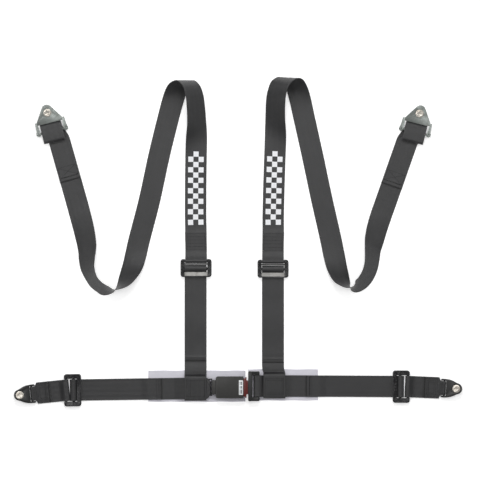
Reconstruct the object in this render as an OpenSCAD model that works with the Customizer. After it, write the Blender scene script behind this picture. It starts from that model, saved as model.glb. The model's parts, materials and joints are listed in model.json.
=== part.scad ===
// Four-point racing harness laid out flat: two lap straps joined by a push-button buckle, two shoulder
// straps with tilt-lock adjusters, and four bolt-on anchor fittings. Millimetres, +Z up, table at Z = 0.

/* [Webbing] */
// Width of every strap
strap_w = 50; // [45:1:55]
// Thickness of one ply of webbing
strap_t = 1.4; // [1.2:0.1:1.6]

/* [Backing pads] */
// Thickness of the comfort pads under the buckle
pad_t = 2; // [1.5:0.5:2]
// Height of the pads across the lap line
pad_h = 73; // [70:1:76]

/* [Buckle] */
// Length of the buckle covers
buckle_l = 64.3; // [62:0.1:66]
// Width of the buckle covers
buckle_w = 50; // [48:1:52]
// Height of the buckle covers
buckle_h = 23; // [22:0.5:24]
// Wall of the buckle covers
cover_wall = 2.4; // [2:0.1:2.6]
// Travel of the release button
press_travel = 4; // [3:0.5:4]

/* [Adjusters] */
// Width of a shoulder adjuster
shoulder_adjuster_w = 72; // [70:1:74]
// Length of a shoulder adjuster along its strap
shoulder_adjuster_l = 42; // [41:0.5:43]
// Width of a lap adjuster
lap_adjuster_w = 75; // [73:1:76]
// Length of a lap adjuster along its strap
lap_adjuster_l = 40; // [39.5:0.5:42]
// Radius of the fixed bar that the sewn strap loops round
fixed_bar_r = 3.4; // [3:0.1:3.6]
// Radius of the sliding lock bar
lock_bar_r = 4; // [3.5:0.1:4]

/* [Anchors] */
// Radius of the anchor bolts, a 7/16 inch thread
bolt_r = 5.56; // [5:0.01:5.6]
// Radius of the bolt holes
bolt_hole_r = 6; // [5.8:0.1:6.5]
// Free length of bolt under the fitting
bolt_free = 16.5; // [16:0.5:17]
// Thickness of the steel anchor fittings
plate_t = 3; // [2.5:0.5:3]
// Slope at which the bolts prop the fittings up
prop_tilt = 14; // [12:1:15]

/* [Hidden] */
$fn = 48;
gap = 0.3;
ply = strap_t + 0.2;
table_z = strap_t / 2 + 0.05;
half_w = strap_w / 2;

// Height of the adjusters' fixed and sliding bars above the table
bar_z = 6.6;
// Sewn loops and lock-bar arches leave this much room round a bar
loop_r = fixed_bar_r + gap + strap_t / 2;

// Lap line, and the slight slope of each side of it
lap_y = [-338.8, -334.5];
lap_slope = [-0.9, -0.3];
// Outboard distance of the loop bar that ends each lap strap at the middle
lap_start = [68, 45];
// Outboard distance of each lap adjuster's fixed bar, its height on the lap line, and its slope
lap_adjuster_u = [400.5, 395.5];
// Outboard distances of the tails' ends
lap_tail_u = [177, 158];
// Anchor strap slope, and the outboard distance of the anchor plate's loop bar
anchor_slope = [-5.8, -2.4];
anchor_loop_u = [480, 480];

// Shoulder straps: outboard distance of the lower run and the Y of the adjuster's fixed bar
shoulder_u = [97.5, 81.5];
shoulder_bar_y = [-44, -45.5];
shoulder_tail_y = [-277, -281];
// Shoulder brackets: bar centre, lean outboard
bracket_at = [[432, 258], [411.5, 256.5]];
bracket_lean = [14, 14];
bracket_bar_z = 8;
// Where each upper strap's outer run meets its bracket loop, the run's lean, and the length of the
// sewn ply that lies on it
run_at = [[411, 219], [388.5, 219]];
run_lean = [15.7, 19.3];
run_tail = [78, 94];
bracket_bar_r = 3;
// How far a bolt's plain shoulder stands out under its fitting
shoulder_proud = 0.5;

// Backing pads: inboard and outboard ends along X, and the centre across them
pad_x = [[-209, 17.5], [23.5, 186.4]];
pad_y = [-335.5, -332.5];

// Buckle: centre across, bottom, tongue level
buckle_y = -337.6;
buckle_x1 = 12.8;
buckle_x0 = buckle_x1 - buckle_l;
buckle_z0 = 2.4;
tongue_z = 14;
frame_z = 9.75;
tongue_t = 3;
tongue_w = 32;
latch_pin_at = [-38, 18.6];
latch_pin_r = 1.5;

// ---- helpers ------------------------------------------------------------------------------------

// Left side is side 0 and is the mirror of the outboard frame; right side is side 1
module sided(side) {
    if (side == 0) mirror([1, 0, 0]) children();
    else children();
}

// Places a lap part whose local X runs outboard along the lap line
module lap_frame(side, u = 0) {
    sided(side) translate([0, lap_y[side], 0]) rotate(lap_slope[side]) translate([u, 0, 0]) children();
}

function arc(c, r, a0, a1, n) = [for (i = [0:n]) c + r * [cos(a0 + (a1 - a0) * i / n),
                                                        sin(a0 + (a1 - a0) * i / n)]];
function unit(v) = v / norm(v);
function side_of(v) = [-v[1], v[0]];
function before(p, i) = p[max(i - 1, 0)];
function after(p, i) = p[min(i + 1, len(p) - 1)];
// Normal of a path at point i, lengthened at corners so that the ply keeps its thickness
function mitre(p, i) =
    let (a = i == 0 ? unit(p[1] - p[0]) : unit(p[i] - before(p, i)),
         b = i == len(p) - 1 ? a : unit(after(p, i) - p[i]),
         m = unit(side_of(a) + side_of(b)))
    m / max(m * side_of(a), 0.6);

// A ply of webbing that follows a path in the X-Z plane, w wide along Y
module ply_along(path, w = strap_w) {
    n = len(path);
    outline = concat([for (i = [0:n - 1]) path[i] + mitre(path, i) * strap_t / 2],
                     [for (i = [n - 1:-1:0]) path[i] - mitre(path, i) * strap_t / 2]);
    rotate([90, 0, 0]) linear_extrude(w, center = true) polygon(outline);
}

// Rounded rectangle from lo to hi
module rounded(lo, hi, r) {
    translate([lo[0] + r, lo[1]]) square([hi[0] - lo[0] - 2 * r, hi[1] - lo[1]]);
    translate([lo[0], lo[1] + r]) square([hi[0] - lo[0], hi[1] - lo[1] - 2 * r]);
    for (x = [lo[0] + r, hi[0] - r], y = [lo[1] + r, hi[1] - r]) translate([x, y]) circle(r);
}

// ---- tilt-lock adjuster -------------------------------------------------------------------------
// Local frame: fixed bar on the Y axis at the origin, the adjustable strap leaves towards +X

// Closed frame with round corners: two rails, the fixed bar, an end rim and a sloping lip, and a low web
// beyond the fixed bar where web is its length
module adjuster_frame(w, l, web = 0) {
    rail_in = half_w + 1.6;
    rail_out = w / 2;
    back = 4.4;
    end = l - back;
    rim = 3;
    web_x = 5.6;
    corner = 6;
    lip_in = 26.2;
    lip_l = end - rim / 2 - lip_in;
    color([0.16, 0.16, 0.17]) difference() {
        intersection() {
            union() {
                for (s = [-1, 1]) translate([0, s * (rail_in + rail_out) / 2, 0])
                    rotate([90, 0, 0]) linear_extrude(rail_out - rail_in, center = true)
                        rounded([-back, -4.4], [end, 4.4], 3);
                rotate([90, 0, 0]) cylinder(h = w - 6, r = fixed_bar_r, center = true);
                translate([end - rim, 3 - rail_out, -1.6]) cube([rim, w - 6, 5.6]);
                if (web > 0) translate([web_x, 3 - rail_out, -back]) cube([web, w - 6, 1.8]);
                translate([lip_in + lip_l / 2, 0, 0.9]) rotate([0, -lip_slope, 0])
                    cube([lip_l / cos(lip_slope), w - 12, 2.4], center = true);
            }
            translate([0, 0, -10]) linear_extrude(20) rounded([-back, -rail_out], [end, rail_out], corner);
        }
        for (s = [-1, 1]) {
            translate([lock_bar_x, s * (rail_in - 0.5), 0]) lock_slot();
            translate([1, 0, 0]) rotate([90, 0, 90]) linear_extrude(end - rim - 2)
                polygon([[s * (rail_in - 1), 3.2], [s * (rail_out - 2.8), 3.9], [s * (rail_out - 2.4), 6],
                         [s * (rail_in - 1), 6]]);
        }
    }
}

// Rise of the lip towards the end of the frame
lip_slope = 14;

// Distance from the fixed bar to the lock bar, and how far the lock bar slides towards the fixed bar
lock_bar_x = 18;
lock_slide = 2;
lock_end_r = 2.2;

// Slot that one end of the lock bar slides in
module lock_slot() {
    cube([2 * lock_end_r + lock_slide * 2 + 0.8, 9, 2 * lock_end_r + 0.6], center = true);
}

module lock_bar() {
    color([0.2, 0.2, 0.21]) rotate([90, 0, 0]) {
        cylinder(h = strap_w + 2, r = lock_bar_r, center = true);
        cylinder(h = strap_w + 8.4, r = lock_end_r, center = true);
    }
}

// Path of an adjustable strap's end in an adjuster's local frame, heights above the table:
// in under the lip, round the lock bar with room for the frame to tilt, and back out as the tail
function lock_wrap(l) =
    let (lip = l - 4.4 - 5, top = 16.4, in = lock_bar_x - lock_bar_r - lock_slide - 1.6)
    [[lip + 16, table_z], [in + 2, table_z], [in, table_z + 2], [in, top - 2], [in + 2, top],
     [21.5, top], [23.6, top - 2], [24.4, 5], [26, table_z + ply + 0.2], [lip + 16, table_z + ply]];

module shoulder_adjuster_place(side) {
    sided(side) translate([shoulder_u[side], shoulder_bar_y[side], bar_z]) rotate(-90) children();
}

module lap_adjuster_place(side) {
    lap_frame(side, lap_adjuster_u[side]) translate([0, 0, bar_z]) rotate(180) children();
}

// ---- straps -------------------------------------------------------------------------------------

// Lap strap, in plain outboard distance along the lap line. The left one loops through the buckle
// frame's slot and the right one through the tongue's, and both go out to the lap adjuster.
function lap_path(side) =
    let (u = lap_start[side], z = side == 0 ? frame_z : tongue_z,
         half = side == 0 ? 2.5 : 5, r = (side == 0 ? 1.25 : 2) + gap + strap_t / 2,
         wrap = lock_wrap(lap_adjuster_l), a = lap_adjuster_u[side], off_pad = side == 0 ? 212 : 192)
    concat([[u + 52, low_ply[side]], [u + 10, low_ply[side]]],
           [for (p = arc([u - half, z], r, 270, 90, 8)) p],
           [[u + half + 0.8, z + r], [u + 13, low_ply[side] + ply + 0.4], [u + 18, low_ply[side] + ply],
            [u + 54, low_ply[side] + ply], [u + 80, pad_t + 2 * table_z],
            [off_pad, pad_t + 2 * table_z], [off_pad + 12, table_z]],
           [for (p = wrap) [a - p[0], p[1]]],
           [[off_pad + 12, table_z + ply], [off_pad, pad_t + 2 * table_z + ply],
            [lap_tail_u[side], pad_t + 2 * table_z + ply]]);
low_ply = [8.2, 8.2];
// Height of the ply that is wrapped over each lap strap beside the buckle
patch_z = [13.6, 13.2];

module lap_strap(side) {
    u = lap_start[side];
    narrow = side == 0 ? 16 : 25;
    color([0.27, 0.27, 0.28]) lap_frame(side) intersection() {
        ply_along(lap_path(side));
        translate([0, 0, -5]) linear_extrude(60)
            polygon([[u - 20, -narrow], [u - 3, -narrow], [u + 6, -half_w], [u + 500, -half_w],
                     [u + 500, half_w], [u + 6, half_w], [u - 3, narrow], [u - 20, narrow]]);
    }
}

// Short strap between a lap adjuster's fixed bar and an anchor plate's loop bar
module anchor_strap(side) {
    a = lap_adjuster_u[side];
    n = anchor_loop_u[side] - a;
    low = 1.2;
    slant = half_w * abs(sin(anchor_slope[side] - lap_slope[side])) + 0.1;
    path = concat([[34, low + ply], [13, low + ply]],
                  arc([slant, bar_z], loop_r, 42, 90, 4),
                  arc([-slant, bar_z], loop_r, 90, 270, 10),
                  [[slant, bar_z - loop_r], [slant + 9, low], [n - 12, low]],
                  arc([n, anchor_bar_z], anchor_loop_r, 280, 476, 10),
                  [[n - 14, low + ply], [38, low + ply]]);
    tuck = anchor_slot_half - 0.5;
    color([0.27, 0.27, 0.28]) anchor_frame(side) intersection() {
        ply_along(path);
        translate([0, 0, -5]) linear_extrude(60)
            polygon([[-20, -half_w], [n - 16, -half_w], [n - 10, -tuck], [n + 20, -tuck],
                     [n + 20, tuck], [n - 10, tuck], [n - 16, half_w], [-20, half_w]]);
    }
}
anchor_bar_z = 6.2;
anchor_bar_r = 2.2;
anchor_loop_r = anchor_bar_r + gap + strap_t / 2;
anchor_slot_half = 17.5;

// Frame at a lap adjuster's fixed bar with X running outboard along the anchor strap
module anchor_frame(side) {
    lap_frame(side, lap_adjuster_u[side]) rotate(anchor_slope[side] - lap_slope[side]) children();
}

// Lower shoulder strap: wrapped round the lap strap, up to the adjuster, and back as the tail.
// Local X runs down the strap from the adjuster's fixed bar.
module shoulder_lower_strap(side) {
    lap = shoulder_bar_y[side] - lap_y[side] + (side == 0 ? 1.5 : 0.6);
    tail = shoulder_bar_y[side] - shoulder_tail_y[side];
    lo = low_ply[side] - ply - 0.6;
    hi = patch_z[side];
    mid = (lo + hi) / 2;
    wrap = lock_wrap(shoulder_adjuster_l);
    path = concat([[lap - half_w, lo], [lap + half_w + 1, lo]],
                  arc([lap + half_w + 0.6, mid], (hi - lo) / 2, -60, 60, 6),
                  [[lap + half_w + 1, hi], [lap - half_w, hi], [lap - half_w - 12, pad_t + 2 * table_z],
                   [lap - half_w - 26, table_z + 0.2]],
                  wrap,
                  [[tail, table_z + ply]]);
    color([0.27, 0.27, 0.28]) sided(side) translate([shoulder_u[side], shoulder_bar_y[side], 0])
        rotate(-90) ply_along(path);
}

// Upper shoulder strap. Each station is outboard distance, Y, height and the direction across the
// strap, from its first edge to its second: up the front, over the top loop, down the back, round
// the twisted turn and out to the bracket.
upper_stations = [
    [[98.7, 60, 0.8, -1, 0, 0], [98.4, 140, 0.8, -1, 0, 0], [97.6, 200, 1.8, -1, 0, 0],
     [96.6, 240, 6, -0.98, 0, -0.18], [96, 275, 19, -0.86, 0, -0.5], [97.4, 310, 36, -0.8, 0, -0.6],
     [101, 340, 50, -0.78, 0.04, -0.63], [108, 361, 51, -0.78, 0.06, -0.63],
     [121, 374, 37, -0.8, 0.04, -0.6], [133, 370, 20, -0.86, -0.02, -0.5],
     [142, 355, 9, -0.95, -0.1, -0.24], [151, 331, 2.4, -0.97, -0.23, -0.03],
     [162, 290, 0.8, -0.97, -0.24, 0], [184, 200, 0.8, -0.97, -0.24, 0],
     [206, 98, 0.8, -0.97, -0.23, 0], [230, 5, 0.8, -0.97, -0.24, 0],
     [238, -30, 3, -0.97, -0.24, 0.08], [246.5, -60, 9.5, -0.9, -0.24, 0.34],
     [263, -92, 20.5, -0.62, -0.2, 0.76], [283, -110.5, 25.5, -0.1, 0, 0.99],
     [298, -112.2, 25.4, -0.05, 0.36, 0.93], [312, -110.5, 24.8, -0.1, 0.54, 0.84],
     [322, -104.5, 24, -0.16, 0.54, 0.83], [337, -89.5, 22.5, -0.34, 0.48, 0.81],
     [348.5, -62.8, 20.5, -0.64, 0.2, 0.74], [351, -40, 17.5, -0.77, 0.06, 0.63],
     [350.5, -21, 14.4, -0.85, 0.06, 0.52], [352, -3, 10.4, -0.91, 0.14, 0.38],
     [359.5, 33, 5.2, -0.95, 0.22, 0.18], [374, 88, 0.9, -0.963, 0.26, 0],
     [391.5, 150, 0.8, -0.963, 0.27, 0]],
    [[82, 60, 0.8, -1, 0, 0], [84, 140, 0.8, -1, 0, 0], [86.4, 210, 1.2, -1, 0.02, 0],
     [87.4, 250, 5, -0.98, 0.02, -0.16], [86.8, 285, 17, -0.9, 0.02, -0.42],
     [87, 318, 34, -0.86, 0.03, -0.5], [90, 344, 50, -0.83, 0.1, -0.55],
     [98, 366, 56, -0.83, 0.14, -0.55], [114, 379.5, 44, -0.84, 0.1, -0.54],
     [127, 377, 24, -0.88, 0, -0.46], [136, 360, 10, -0.95, -0.1, -0.26],
     [145, 331, 2.4, -0.97, -0.22, -0.03], [154, 290, 0.8, -0.976, -0.22, 0],
     [175, 195, 0.8, -0.976, -0.22, 0], [194, 105, 0.8, -0.976, -0.22, 0],
     [215, 12, 0.8, -0.976, -0.22, 0], [224, -32, 3.4, -0.97, -0.22, 0.1],
     [230.5, -60, 9, -0.91, -0.24, 0.33], [240, -86, 17.5, -0.74, -0.2, 0.64],
     [251, -100, 24, -0.36, -0.16, 0.92], [263, -106, 25.6, -0.12, 0.1, 0.98],
     [275, -103, 23.4, -0.24, 0.5, 0.83], [289, -94, 21, -0.44, 0.46, 0.77],
     [300.5, -79, 19.8, -0.56, 0.37, 0.74], [308.5, -59, 19, -0.65, 0.25, 0.72],
     [312, -37, 18, -0.7, 0.2, 0.68], [313.5, -15, 16, -0.78, 0.16, 0.6],
     [317, 5, 11, -0.9, 0.2, 0.4], [324, 33, 5.6, -0.93, 0.28, 0.2],
     [334, 64, 2, -0.94, 0.32, 0.04], [345, 95, 0.8, -0.944, 0.33, 0],
     [362, 143.5, 0.8, -0.944, 0.33, 0]]];

// Sewn loop round the adjuster's fixed bar, from the hidden end to the front run
function adjuster_loop(side) =
    let (u = shoulder_u[side], y = shoulder_bar_y[side], tail_y = 24)
    concat([[u + 1, tail_y, table_z], [u, y + 30, table_z], [u, y + 10, table_z + 0.3]],
           [for (p = arc([y, bar_z], loop_r, 263, 63, 12)) [u, p[0], p[1]]],
           [[u, y + 12, 5.4], [u, y + 24, table_z + ply], [u + 0.4, tail_y, table_z + ply],
            [u + 0.6, tail_y + 12, table_z]]);
// Point on the straight outer run, back from where it meets the bracket loop
function on_run(side, back, z) =
    [run_at[side][0] - back * sin(run_lean[side]), run_at[side][1] - back * cos(run_lean[side]), z,
     -cos(run_lean[side]), sin(run_lean[side]), 0];
// Loose sewn loop round the bracket's bar: under the bar, up at the plate end, over the top, and down
// in a roll that hangs over the sewn ply. Columns: along the bracket, height, inboard of its middle.
bracket_turn = concat([[-14, 1.2, 6], [-5, 1.5, 2], [4, 1.9, 0], [10, 2.2, 0]],
                      [for (p = arc([11, 9], 6.6, -70, 80, 6)) [p[0], p[1], 0]],
                      [[4, 16.6, 0], [-8, 16.9, 0]],
                      [for (p = arc([-19.5, 11], 5.7, 90, 270, 10)) [p[0], p[1], 0]],
                      [for (p = arc([-15.5, 4.1], 1.2, 90, -90, 6)) [p[0], p[1], 0]],
                      [[-19.5, 2.7, 5]]);
// Row whose across direction is kept as given
function kept(row) = concat(row, [1]);
function bracket_loop(side) =
    let (c = bracket_at[side], lean = bracket_lean[side], a = [sin(lean), cos(lean)], w = side_of(a))
    concat([on_run(side, 0, table_z), kept(on_run(side, -18, table_z + 0.1))],
           [for (p = bracket_turn) let (q = c + p[0] * a + p[2] * w) [q[0], q[1], p[1], -a[1], a[0], 0, 1]],
           [kept(on_run(side, -18, table_z + ply + 0.1)), on_run(side, 8, table_z + ply + 0.1),
            on_run(side, run_tail[side], table_z + ply + 0.1)]);

function curve_point(a, b, c, d, t) =
    0.5 * (2 * b + (c - a) * t + (2 * a - 5 * b + 4 * c - d) * t * t + (3 * b - a - 3 * c + d) * t * t * t);
// Smooth curve through the stations, steps points to each span
function smooth(p, steps) =
    concat([for (i = [0:len(p) - 2], k = [0:steps - 1])
        curve_point(before(p, i), p[i], p[i + 1], p[min(i + 2, len(p) - 1)], k / steps)],
        [p[len(p) - 1]]);

function place(s) = [s[0], s[1], s[2]];
function across(s) = [s[3], s[4], s[5]];
// Direction across the strap, made square to its run except in rows that carry a seventh number
function square_across(p, i) =
    let (run = unit(place(after(p, i)) - place(before(p, i))), w = across(p[i]))
    len(p[i]) > 6 ? unit(w) : unit(w - run * (w * run));

// Four corners of the strap's section at each station, joined into one closed solid
module swept_strap(p) {
    n = len(p);
    corners = [for (i = [0:n - 1])
        let (w = square_across(p, i), run = unit(place(after(p, i)) - place(before(p, i))),
             out = unit(cross(run, w)) * strap_t / 2, mid = place(p[i]))
        each [mid - w * half_w - out, mid + w * half_w - out, mid + w * half_w + out,
              mid - w * half_w + out]];
    sides = [for (i = [0:n - 2], k = [0:3])
        let (a = 4 * i + k, b = 4 * i + (k + 1) % 4)
        each [[a, b, b + 4], [a, b + 4, a + 4]]];
    polyhedron(corners, concat(sides, [[3, 2, 1], [3, 1, 0]],
               [[4 * n - 4, 4 * n - 3, 4 * n - 2], [4 * n - 4, 4 * n - 2, 4 * n - 1]]));
}

module shoulder_upper_strap(side) {
    free = smooth(upper_stations[side], 4);
    path = concat([for (p = adjuster_loop(side)) concat(p, [-1, 0, 0])], free,
                  bracket_loop(side));
    color([0.27, 0.27, 0.28]) sided(side) swept_strap(path);
}

module backing_pad(side) {
    x = pad_x[side];
    color([0.81, 0.81, 0.84]) translate([0, pad_y[side], 0]) linear_extrude(pad_t)
        rounded([x[0], -pad_h / 2], [x[1], pad_h / 2], 3);
}

// ---- shoulder bracket ---------------------------------------------------------------------------
// Local frame: loop bar on the Y axis at the origin, X towards the bolt, then tilted up by prop_tilt

bracket_hole = 45;
bracket_tip = 64;
bracket_half = 31.8;
// Sideways lean of the ears, and where their middles cross the loop bar
ear_flare = 0.5;
ear_at = 32.5;

module bracket_place(side) {
    sided(side) translate([bracket_at[side][0], bracket_at[side][1], bracket_bar_z])
        rotate(90 - bracket_lean[side]) rotate([0, -prop_tilt, 0]) children();
}

module shoulder_bracket(side) {
    shoulder_x = 25;
    half_t = 1.7;
    ear_z = 6.2;
    color([0.66, 0.67, 0.67]) bracket_place(side) difference() {
        union() {
            translate([0, 0, -plate_t / 2]) linear_extrude(plate_t) bracket_outline(shoulder_x);
            for (s = [-1, 1]) intersection() {
                rotate([90, 0, 0]) linear_extrude(90, center = true) ear_outline();
                translate([-10, 0, 0]) rotate([90, 0, 90]) linear_extrude(40)
                    polygon([for (p = [[-half_t, ear_z], [half_t, ear_z], [half_t, -ear_z], [-half_t, -ear_z]])
                        [s * (ear_at + p[0] - p[1] * ear_flare), p[1]]]);
            }
        }
        translate([bracket_hole, 0, -10]) cylinder(h = 20, r = bolt_hole_r);
        rotate([90, 0, 0]) cylinder(h = 90, r = bracket_bar_r, center = true);
    }
}

// Folded side ear with a round end about the bar
module ear_outline() {
    ear_r = 6;
    circle(ear_r);
    polygon([[0, -ear_r], [0, ear_r], [12, ear_r], [27, plate_t / 2], [27, -plate_t / 2], [8, -4]]);
}

// Triangle with a round tip, from the strap's window to the bolt end
module bracket_outline(shoulder_x) {
    tip_r = 12.5;
    tip_x = bracket_tip - tip_r;
    edge = 36;
    polygon([[20.5, -bracket_half], [shoulder_x, -bracket_half],
             [tip_x + tip_r * sin(edge), -tip_r * cos(edge)], [tip_x + tip_r * sin(edge), tip_r * cos(edge)],
             [shoulder_x, bracket_half], [20.5, bracket_half]]);
    translate([tip_x, 0]) circle(tip_r);
}

module shoulder_bracket_bar(side) {
    bar_half = 36.5;
    color([0.6, 0.61, 0.6]) bracket_place(side) rotate([90, 0, 0]) {
        cylinder(h = 2 * bar_half, r = bracket_bar_r, center = true);
        for (s = [-1, 1]) translate([0, 0, s * (bar_half + 0.6)])
            cylinder(h = 1.2, r = bracket_bar_r + 1, center = true);
    }
}

// Flange-head bolt with a cross recess, head up: a plain shoulder through the fitting and a free thread below it
module anchor_bolt(free) {
    flange_t = 2;
    head_z = plate_t / 2 + gap;
    shoulder_z = -plate_t / 2 - shoulder_proud;
    color([0.85, 0.8, 0.68]) difference() {
        union() {
            translate([0, 0, head_z]) cylinder(h = flange_t, r = 9.2);
            translate([0, 0, head_z + flange_t]) cylinder(h = 4.5, r = 7.6, $fn = 6);
            translate([0, 0, shoulder_z]) cylinder(h = head_z - shoulder_z, r = bolt_hole_r - 0.2);
            translate([0, 0, -plate_t / 2 - free]) cylinder(h = free, r = bolt_r);
        }
        for (a = [0, 90]) rotate(a) translate([-4.8, -1.1, head_z + 3.5]) cube([9.6, 2.2, 5]);
    }
}

module shoulder_bolt(side) {
    bracket_place(side) translate([bracket_hole, 0, 0]) anchor_bolt(bolt_free);
}

// ---- lap anchor ---------------------------------------------------------------------------------
// Local frame: loop bar on the Y axis at the origin, X towards the bolt, tilted up by prop_tilt

anchor_hole = 29.3;
anchor_half = 20;
boot_t = 9;
boot_wall = 1.6;

module anchor_place(side) {
    anchor_frame(side) translate([anchor_loop_u[side] - lap_adjuster_u[side], 0, anchor_bar_z])
        rotate([0, -anchor_tilt, 0]) children();
}
anchor_tilt = 15;

// Bullet shape, square at the strap end and round about the bolt
module anchor_outline(grow) {
    tip_r = 11.2 + grow;
    side = anchor_half + grow;
    polygon([[-8, -side], [4, -side], [12, 1 - side], [20, 3.4 - side], [27, 7 - side],
             [anchor_hole + 5, -tip_r * 0.9], [anchor_hole + 5, tip_r * 0.9], [27, side - 7],
             [20, side - 3.4], [12, side - 1], [4, side], [-8, side]]);
    translate([anchor_hole, 0]) circle(tip_r);
}

module anchor_plate(side) {
    color([0.16, 0.16, 0.17]) anchor_place(side) difference() {
        union() {
            translate([0, 0, -plate_t / 2]) linear_extrude(plate_t) difference() {
                anchor_outline(0);
                translate([-9, -anchor_slot_half]) square([13.5, 2 * anchor_slot_half]);
            }
            rotate([90, 0, 0]) cylinder(h = 2 * anchor_half - 2, r = anchor_bar_r, center = true);
        }
        translate([anchor_hole, 0, -10]) cylinder(h = 20, r = bolt_hole_r);
    }
}

// Black boot over the anchor plate, open above and below the strap's loop
module anchor_boot(side) {
    inside = boot_t / 2 - boot_wall;
    slot_half = anchor_slot_half + 0.4;
    color([0.1, 0.1, 0.1]) anchor_place(side) difference() {
        translate([0, 0, -boot_t / 2]) linear_extrude(boot_t) anchor_outline(boot_wall);
        translate([0, 0, -inside]) linear_extrude(2 * inside) anchor_outline(0.2);
        translate([-36.5, -40, -boot_t]) cube([30, 80, 2 * boot_t]);
        translate([-10, -slot_half, -boot_t]) cube([15, 2 * slot_half, 2 * boot_t]);
        translate([anchor_hole, 0, -20]) cylinder(h = 40, r = 9.8);
    }
}

module lap_bolt(side) {
    anchor_place(side) translate([anchor_hole, 0, 0]) anchor_bolt(anchor_bolt_free);
}
anchor_bolt_free = 11;

// ---- buckle -------------------------------------------------------------------------------------

module at_buckle() {
    translate([0, buckle_y, 0]) children();
}

module cover_block(grow) {
    translate([0, 0, buckle_z0 - grow]) linear_extrude(buckle_h + 2 * grow)
        rounded([buckle_x0 - grow, -buckle_w / 2 - grow], [buckle_x1 + 40, buckle_w / 2 + grow], 5 + grow);
}

// Both covers together: a rounded case, open at the button end, with a neck at the strap end
module cover_pair() {
    neck_half = 16.5;
    difference() {
        union() {
            intersection() {
                cover_block(0);
                at_x(buckle_x0, buckle_x1);
            }
            translate([buckle_x0 - 9, -neck_half, 5.5]) cube([12, 2 * neck_half, 12]);
        }
        translate([buckle_x0 + cover_wall, cover_wall - buckle_w / 2, buckle_z0 + cover_wall])
            cube([buckle_l + 20, buckle_w - 2 * cover_wall, buckle_h - 2 * cover_wall]);
        translate([buckle_x0 - 30, -14.6, frame_z - 1.65]) cube([60, 29.2, 3.3]);
    }
}

module at_x(x0, x1) {
    translate([x0, -60, -10]) cube([x1 - x0, 120, 60]);
}

module buckle_upper_cover() {
    color([0.25, 0.25, 0.24]) at_buckle() intersection() {
        cover_pair();
        translate([-100, -60, tongue_z]) cube([200, 120, 40]);
    }
}

module buckle_lower_cover() {
    color([0.22, 0.22, 0.21]) at_buckle() intersection() {
        cover_pair();
        translate([-100, -60, -10]) cube([200, 120, tongue_z + 10]);
    }
}

module buckle_label() {
    color([0.92, 0.93, 0.93]) at_buckle() translate([2.2, -17, buckle_z0 + buckle_h])
        cube([9.4, 33.6, 0.4]);
}

// Steel channel with the strap slot, the tongue's bed and two lugs for the latch pin
module buckle_frame() {
    end = lap_start[0] + 2.5;
    bed_half = 14.3;
    lug = latch_pin_at;
    color([0.16, 0.16, 0.17]) at_buckle() difference() {
        union() {
            translate([-end, -bed_half, frame_z - 1.25]) cube([end + 8, 2 * bed_half, 2.5]);
            translate([-end, -20, frame_z - 1.25]) cube([end - 60, 40, 2.5]);
            for (s = [-1, 1]) translate([lug[0] - 6, s * (bed_half - 0.9) - 0.9, frame_z])
                cube([16, 1.8, lug[1] - frame_z + 3.5]);
        }
        translate([-lap_start[0] + 2.5, -17, 0]) cube([3.4, 34, 20]);
        translate([-1.5, -8, 0]) cube([9, 16, 20]);
        translate([lug[0], 0, lug[1]]) rotate([90, 0, 0]) cylinder(h = 60, r = latch_pin_r, center = true);
    }
}

module latch_pin() {
    color([0.7, 0.7, 0.7]) at_buckle() translate([latch_pin_at[0], 0, latch_pin_at[1]])
        rotate([90, 0, 0]) cylinder(h = 31, r = latch_pin_r, center = true);
}

// Hinged latch whose tooth stands over the tongue's window
module latch_plate() {
    arm_z = latch_pin_at[1] - 1;
    color([0.66, 0.66, 0.67]) at_buckle() difference() {
        union() {
            translate([latch_pin_at[0], 0, latch_pin_at[1]]) rotate([90, 0, 0])
                cylinder(h = 13, r = 3.2, center = true);
            translate([latch_pin_at[0], -6.5, arm_z - 0.6]) cube([45, 13, 2]);
            translate([1, -6.5, tongue_z + tongue_t / 2 + gap]) cube([4, 13, arm_z - tongue_z - 1]);
        }
        translate([latch_pin_at[0], 0, latch_pin_at[1]]) rotate([90, 0, 0])
            cylinder(h = 60, r = latch_pin_r + 0.15, center = true);
    }
}

// Coil of touching rings, wire_r thick, along X
module coil(turns, coil_r, wire_r, pitch) {
    for (i = [0:turns - 1]) translate([i * pitch, 0, 0]) rotate([0, 90, 0])
        rotate_extrude() translate([coil_r, 0]) circle(wire_r);
}

// Torsion spring round the latch pin
module latch_spring() {
    color([0.75, 0.75, 0.76]) at_buckle() translate([latch_pin_at[0], 7.6, latch_pin_at[1]])
        rotate(90) coil(5, 2.45, 0.5, 0.98);
}

// Slider that pushes the tongue out
module ejector() {
    color([0.8, 0.78, 0.7]) at_buckle() translate([-30, -12, frame_z + 1.4]) cube([17, 24, 4]);
}

// Ejector spring, coil bound while the tongue is in
module ejector_spring() {
    color([0.75, 0.75, 0.76]) at_buckle() translate([-45.2, 0, frame_z + 3.4]) coil(15, 1.5, 0.5, 0.98);
}

// Red push button: full-width face, raised middle, and two arms beside the latch
module release_button() {
    face_half = 24;
    middle_half = 16.2;
    z0 = tongue_z + tongue_t / 2 + 0.5;
    top = buckle_z0 + buckle_h - cover_wall - 0.3;
    color([0.45, 0.18, 0.17]) at_buckle() {
        translate([buckle_x1 + press_travel + 0.5, -face_half, z0])
            cube([6.5 - press_travel, 2 * face_half, top + 1.6 - z0]);
        translate([buckle_x1 - 0.3, 3 - face_half, z0])
            cube([6.3, 2 * face_half - 6, top - z0]);
        translate([buckle_x1, -middle_half, z0]) cube([10.1, 2 * middle_half, top - 0.7 - z0]);
        for (s = [-1, 1]) translate([-12, s * 17.6 - 1.4, z0]) cube([buckle_x1 + 13, 2.8, 4]);
    }
}

module tongue_place() {
    translate([0, lap_y[1], tongue_z]) children();
}

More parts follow.
